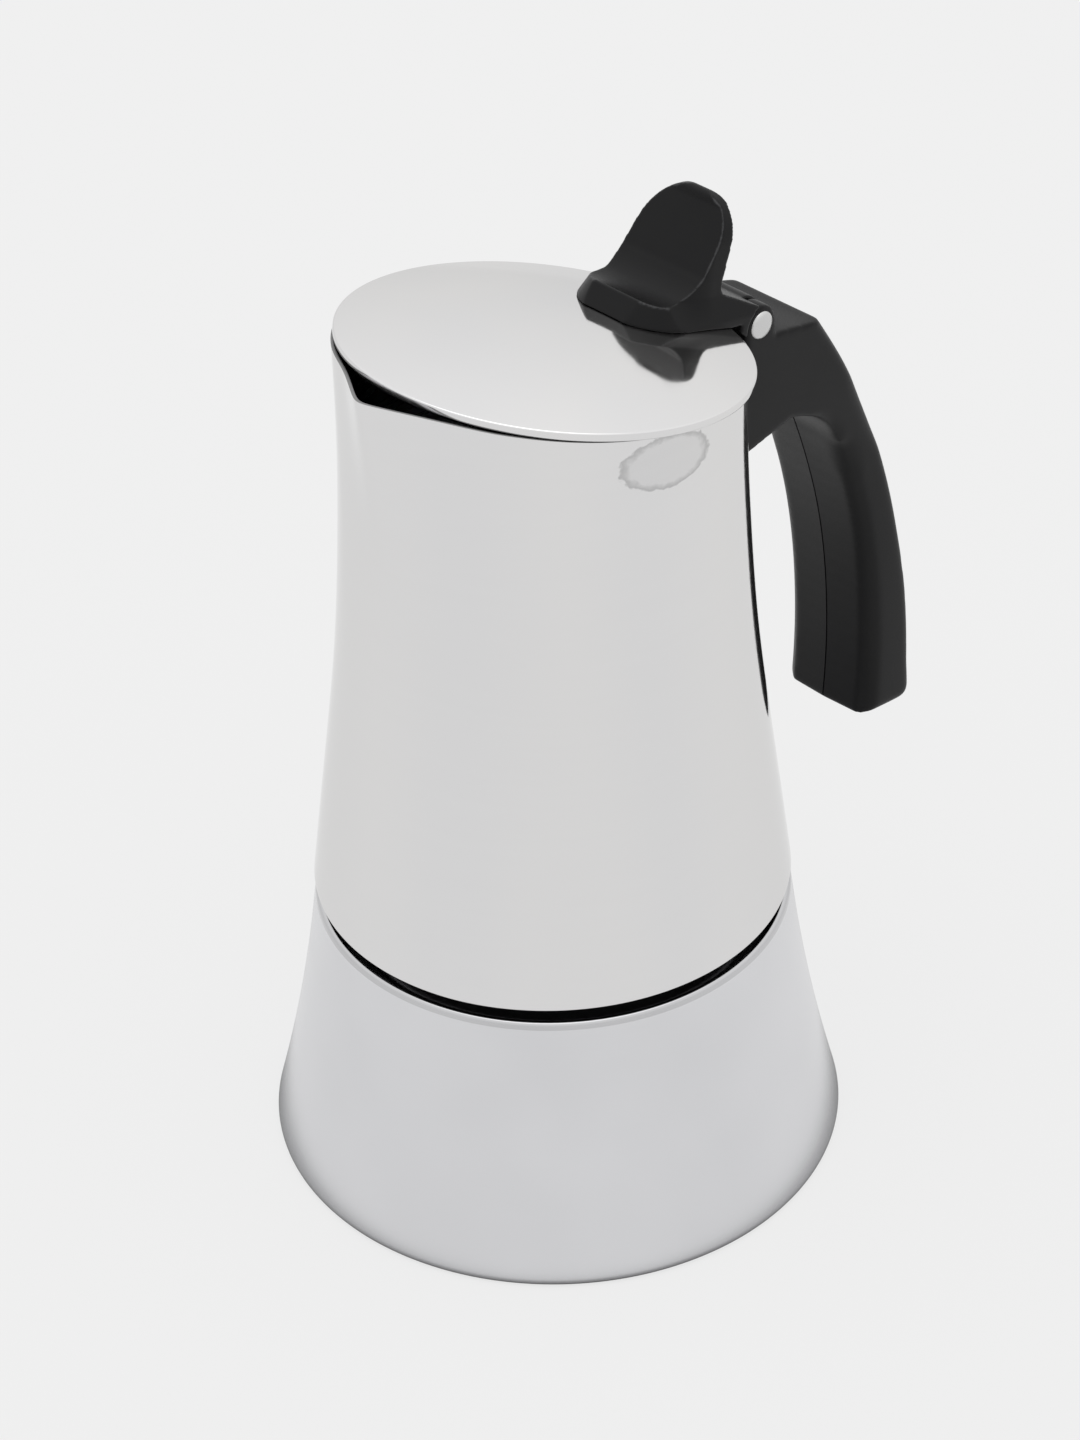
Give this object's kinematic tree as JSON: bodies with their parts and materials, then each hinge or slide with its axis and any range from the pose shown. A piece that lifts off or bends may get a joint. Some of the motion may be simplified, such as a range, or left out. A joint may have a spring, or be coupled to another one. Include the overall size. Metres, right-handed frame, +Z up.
{
  "type": "stove-top coffee pot",
  "caption": "Stove-top pressure coffee pot in polished steel: bell-shaped boiler, waisted upper pot with pouring beak, hinged domed lid, black plastic handle and thumb lever.",
  "frame": {"origin": "middle of the base, on the floor", "axes": "+Z up along the pot's axis, +X towards the handle, -X towards the pouring beak, +Y towards the safety valve"},
  "size_m": [0.1374, 0.1081, 0.1786],
  "materials": {
    "satin_steel": "satin, brushed round",
    "polished_steel": "mirror polish",
    "inner_steel": "plain sheet",
    "black_plastic": "fine matte moulding",
    "seal_rubber": "matte",
    "brass": "turned"
  },
  "bodies": {
    "boiler": {"boiler_shell": "satin_steel", "boiler_bottom": "satin_steel", "boiler_neck": "satin_steel", "valve_boss": "satin_steel", "valve_washer": "seal_rubber", "valve_body": "brass", "valve_seat": "brass", "valve_spring": "inner_steel"},
    "valve": {"valve_plunger": "brass"},
    "funnel": {"basket_cup": "inner_steel", "basket_sieve": "inner_steel", "funnel_stem": "inner_steel"},
    "seal": {"gasket": "seal_rubber"},
    "filter": {"filter_plate": "inner_steel"},
    "upper_pot": {"pot_shell": "polished_steel", "pot_floor": "inner_steel", "pot_collar": "inner_steel", "riser_tube": "inner_steel", "riser_cap": "inner_steel", "handle_bracket": "inner_steel", "handle": "black_plastic", "handle_screw": "inner_steel", "hinge_pin": "polished_steel"},
    "lid": {"lid_plate": "polished_steel", "lid_knob": "black_plastic", "lid_backing": "inner_steel", "lid_screws": "inner_steel"}
  },
  "joints": [
    {"name": "funnel_lift", "type": "slide", "parent": "boiler", "child": "funnel", "axis": [0, 0, 1], "range_m": [0, 0.075]},
    {"name": "pot_rise", "type": "slide", "parent": "funnel", "child": "seal", "axis": [0, 0, 1], "range_m": [0, 0.008]},
    {"name": "pot_lift", "type": "slide", "parent": "seal", "child": "filter", "axis": [0, 0, 1], "range_m": [0, 0.06]},
    {"name": "pot_turn", "type": "hinge", "parent": "filter", "child": "upper_pot", "pos_m": [0, 0, 0.0718], "axis": [0, 0, 1], "range_deg": [0, 720]},
    {"name": "lid_hinge", "type": "hinge", "parent": "upper_pot", "child": "lid", "pos_m": [0.04202, 0, 0.15338], "axis": [0, 1, 0], "range_deg": [0, 105]},
    {"name": "valve_pop", "type": "slide", "parent": "boiler", "child": "valve", "axis": [0, 1, 0], "range_m": [0, 0.0015], "stiffness_N_per_m": 2000, "deforming": ["valve_spring"]}
  ],
  "couplings": [
    {"joint": "pot_rise", "follows": "pot_turn", "m_per_rad": 0.000636}
  ]
}
